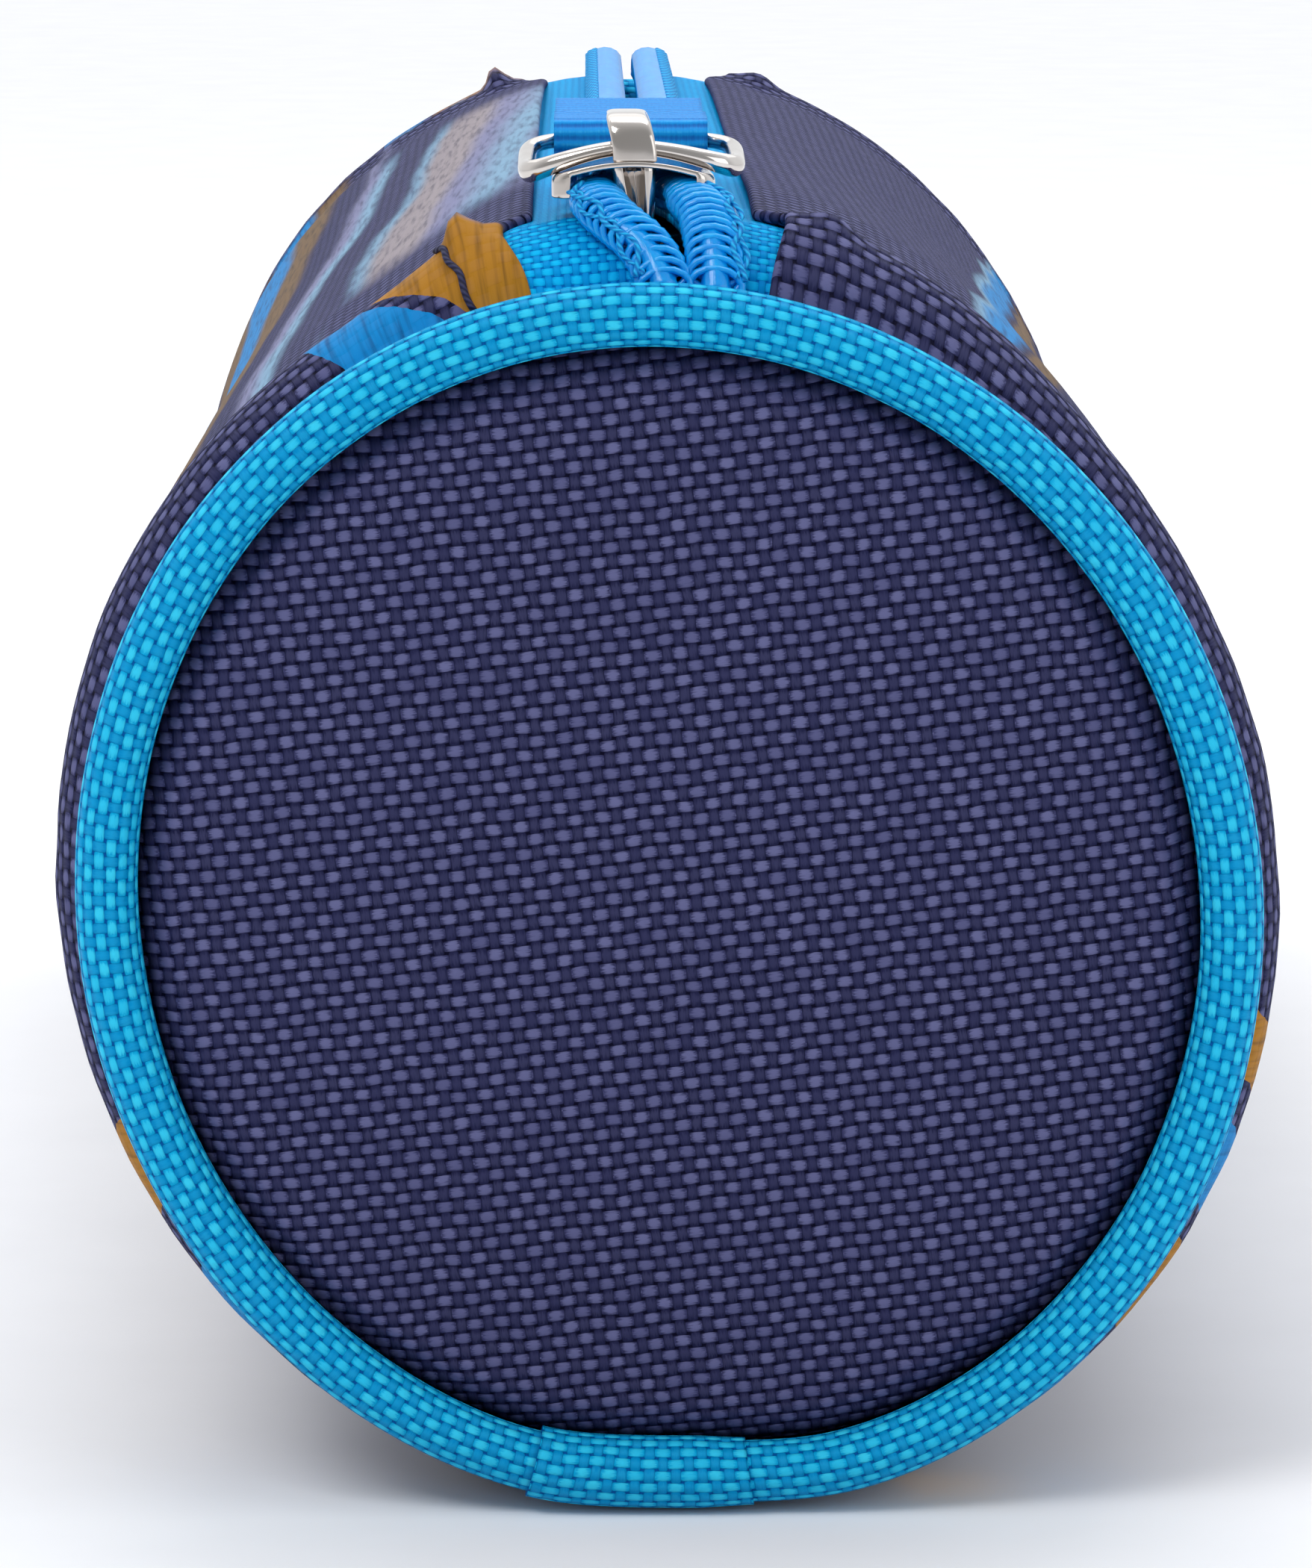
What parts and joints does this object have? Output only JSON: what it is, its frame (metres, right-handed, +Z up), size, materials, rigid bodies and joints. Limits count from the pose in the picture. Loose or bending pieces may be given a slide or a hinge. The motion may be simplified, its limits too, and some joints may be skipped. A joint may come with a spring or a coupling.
{
  "type": "pencil case",
  "caption": "Round zipped pencil case of navy woven fabric with bright blue piping at both ends, a blue zip, a nickel slider, a wire pull ring and a folded ribbon pull.",
  "frame": {"origin": "on the table, under the middle of the case's box", "axes": "+Z up through the zip, +Y along the case away from the end where the slider rests when shut, +X to the right seen from that end"},
  "size_m": [0.0786, 0.2066, 0.0891],
  "materials": {
    "shell_fabric": "navy plain-weave polyester with printed streaks on the wall",
    "piping": "bright blue plain weave",
    "piping_cord": "twisted white cord",
    "binding": "dark woven tape",
    "foam": "thin soft foam",
    "lining": "smooth dark lining",
    "zip_tape": "bright blue woven tape",
    "zip_coil": "glossy blue nylon",
    "nickel": "bright nickel plate",
    "ribbon": "blue ribbed ribbon"
  },
  "bodies": {
    "case": {"base_panel": "shell_fabric", "base_foam": "foam", "base_lining": "lining", "front_panel": "shell_fabric", "front_foam": "foam", "front_lining": "lining", "front_piping": "piping", "front_piping_lap": "piping", "front_piping_cord": "piping_cord", "front_seam_binding": "binding", "back_panel": "shell_fabric", "back_foam": "foam", "back_lining": "lining", "back_piping": "piping", "back_piping_lap": "piping", "back_piping_cord": "piping_cord", "back_seam_binding": "binding"},
    "left_flap": {"left_flap_panel": "shell_fabric", "left_flap_foam": "foam", "left_flap_lining": "lining", "left_zip_tape": "zip_tape", "left_zip_coil": "zip_coil"},
    "right_flap": {"right_flap_panel": "shell_fabric", "right_flap_foam": "foam", "right_flap_lining": "lining", "right_zip_tape": "zip_tape", "right_zip_coil": "zip_coil"},
    "slider": {"slider_body": "nickel", "slider_crown": "nickel"},
    "ring": {"pull_ring": "nickel"},
    "ribbon": {"pull_ribbon": "ribbon"}
  },
  "joints": [
    {"name": "zip_slide", "type": "slide", "parent": "case", "child": "slider", "axis": [0, 0.9999, -0.0141], "range_m": [0, 0.172]},
    {"name": "left_flap_hinge", "type": "hinge", "parent": "case", "child": "left_flap", "pos_m": [-0.03706, 0, 0.05485], "axis": [0, -1, 0], "range_deg": [0, 25.2], "deforming": ["left_zip_tape", "left_zip_coil"]},
    {"name": "right_flap_hinge", "type": "hinge", "parent": "case", "child": "right_flap", "pos_m": [0.03591, 0, 0.05485], "axis": [0, 1, 0], "range_deg": [0, 25.2], "deforming": ["right_zip_tape", "right_zip_coil"]},
    {"name": "pull_ring_hinge", "type": "hinge", "parent": "slider", "child": "ring", "pos_m": [-0.00154, -0.0915, 0.08685], "axis": [1, 0, 0], "range_deg": [0, 165]},
    {"name": "ribbon_hinge", "type": "hinge", "parent": "ring", "child": "ribbon", "pos_m": [-0.00154, -0.0802, 0.08655], "axis": [1, 0, 0], "range_deg": [0, 65]}
  ],
  "couplings": [
    {"joint": "left_flap_hinge", "follows": "zip_slide", "rad_per_m": 2.536},
    {"joint": "right_flap_hinge", "follows": "zip_slide", "rad_per_m": 2.536}
  ]
}
